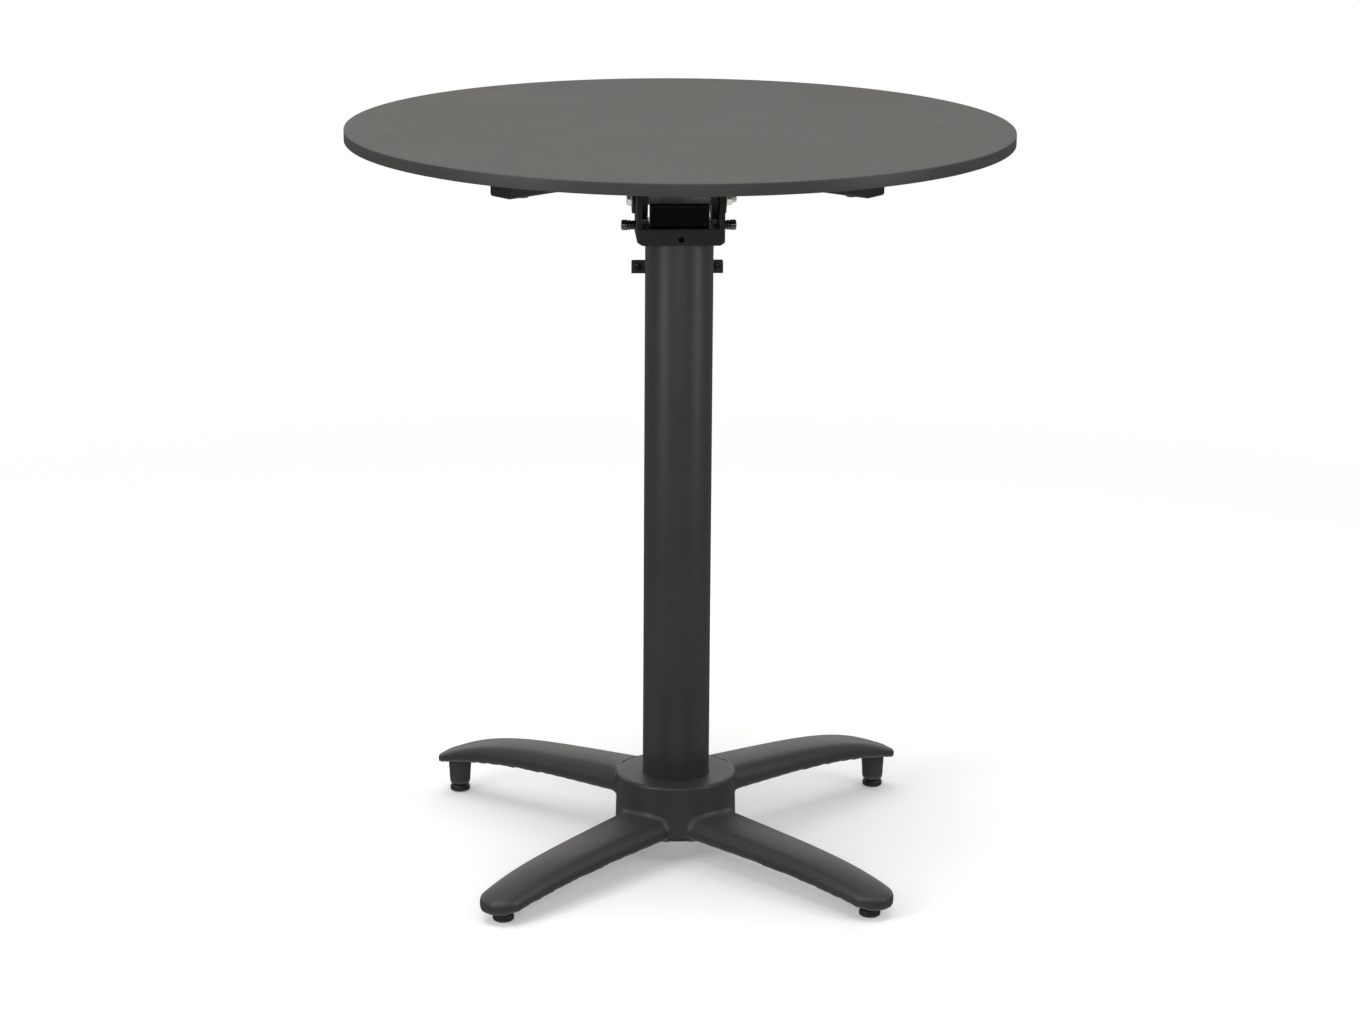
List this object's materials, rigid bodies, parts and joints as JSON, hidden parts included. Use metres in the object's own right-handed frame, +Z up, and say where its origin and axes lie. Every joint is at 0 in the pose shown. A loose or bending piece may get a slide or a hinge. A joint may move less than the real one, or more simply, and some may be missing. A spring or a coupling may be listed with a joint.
{
  "type": "folding bistro table",
  "caption": "Folding bistro table: round tilting top with a sprung release latch, on a column and nesting pedestal with levelling glides.",
  "frame": {"origin": "on the floor, on the column's centre line", "axes": "+Z up along the column, -Y to the front (the low, narrow pair of arms), +Y to the back, where the folded top hangs, +X to the right seen from the front"},
  "size_m": [0.6599, 0.66, 0.745],
  "materials": {
    "pedestal_coat": "fine satin powder coat",
    "yoke_coat": "satin powder coat on cast and cut steel",
    "frame_coat": "satin powder coat",
    "laminate": "fine matt compact laminate",
    "zinc_steel": "bright zinc plate",
    "black_steel": "black oxide",
    "paddle_coat": "gloss black",
    "rubber_pad": "matt",
    "black_nylon": "moulded, slight sheen",
    "insert_brass": "turned"
  },
  "bodies": {
    "pedestal": {"base_casting": "pedestal_coat", "bumper_bar": "frame_coat", "bumper_pads": "rubber_pad", "bumper_screws": "black_steel", "column_tube": "pedestal_coat", "head_yoke": "yoke_coat", "latch_springs": "black_steel", "pivot_bolt": "zinc_steel", "pivot_bushes": "black_nylon", "pivot_nut": "zinc_steel", "pivot_washers": "zinc_steel", "rest_pads": "rubber_pad", "tie_rod": "zinc_steel", "tie_rod_nut": "zinc_steel", "tie_rod_washer": "zinc_steel", "yoke_grub_screw": "black_steel"},
    "top_assembly": {"cam_ear_left": "yoke_coat", "cam_ear_right": "yoke_coat", "frame_arm_back_left": "frame_coat", "frame_arm_back_right": "frame_coat", "frame_arm_front_left": "frame_coat", "frame_arm_front_right": "frame_coat", "frame_end_cap_back_left": "black_nylon", "frame_end_cap_back_right": "black_nylon", "frame_end_cap_front_left": "black_nylon", "frame_end_cap_front_right": "black_nylon", "hinge_plate": "frame_coat", "pivot_spacer": "zinc_steel", "tabletop": "laminate", "top_inserts": "insert_brass", "top_screws": "black_steel"},
    "latch": {"latch_bar": "black_steel", "latch_cap_left": "black_nylon", "latch_cap_right": "black_nylon", "release_paddle": "paddle_coat", "paddle_screws": "black_steel"},
    "glide_front_left": {"glide_foot_front_left": "black_nylon", "glide_stud_front_left": "zinc_steel"},
    "glide_front_right": {"glide_foot_front_right": "black_nylon", "glide_stud_front_right": "zinc_steel"},
    "glide_back_left": {"glide_foot_back_left": "black_nylon", "glide_stud_back_left": "zinc_steel"},
    "glide_back_right": {"glide_foot_back_right": "black_nylon", "glide_stud_back_right": "zinc_steel"}
  },
  "joints": [
    {"name": "top_tilt", "type": "hinge", "parent": "pedestal", "child": "top_assembly", "pos_m": [0, 0.014, 0.671], "axis": [-1, 0, 0], "range_deg": [0, 90]},
    {"name": "latch_lift", "type": "slide", "parent": "pedestal", "child": "latch", "axis": [0, 0, 1], "range_m": [0, 0.0048], "stiffness_N_per_m": 800, "springref_m": 0.01, "deforming": ["latch_springs"]},
    {"name": "glide_front_left_screw", "type": "slide", "parent": "pedestal", "child": "glide_front_left", "axis": [0, 0, -1], "range_m": [0, 0.006]},
    {"name": "glide_front_right_screw", "type": "slide", "parent": "pedestal", "child": "glide_front_right", "axis": [0, 0, -1], "range_m": [0, 0.006]},
    {"name": "glide_back_left_screw", "type": "slide", "parent": "pedestal", "child": "glide_back_left", "axis": [0, 0, -1], "range_m": [0, 0.008]},
    {"name": "glide_back_right_screw", "type": "slide", "parent": "pedestal", "child": "glide_back_right", "axis": [0, 0, -1], "range_m": [0, 0.008]}
  ]
}
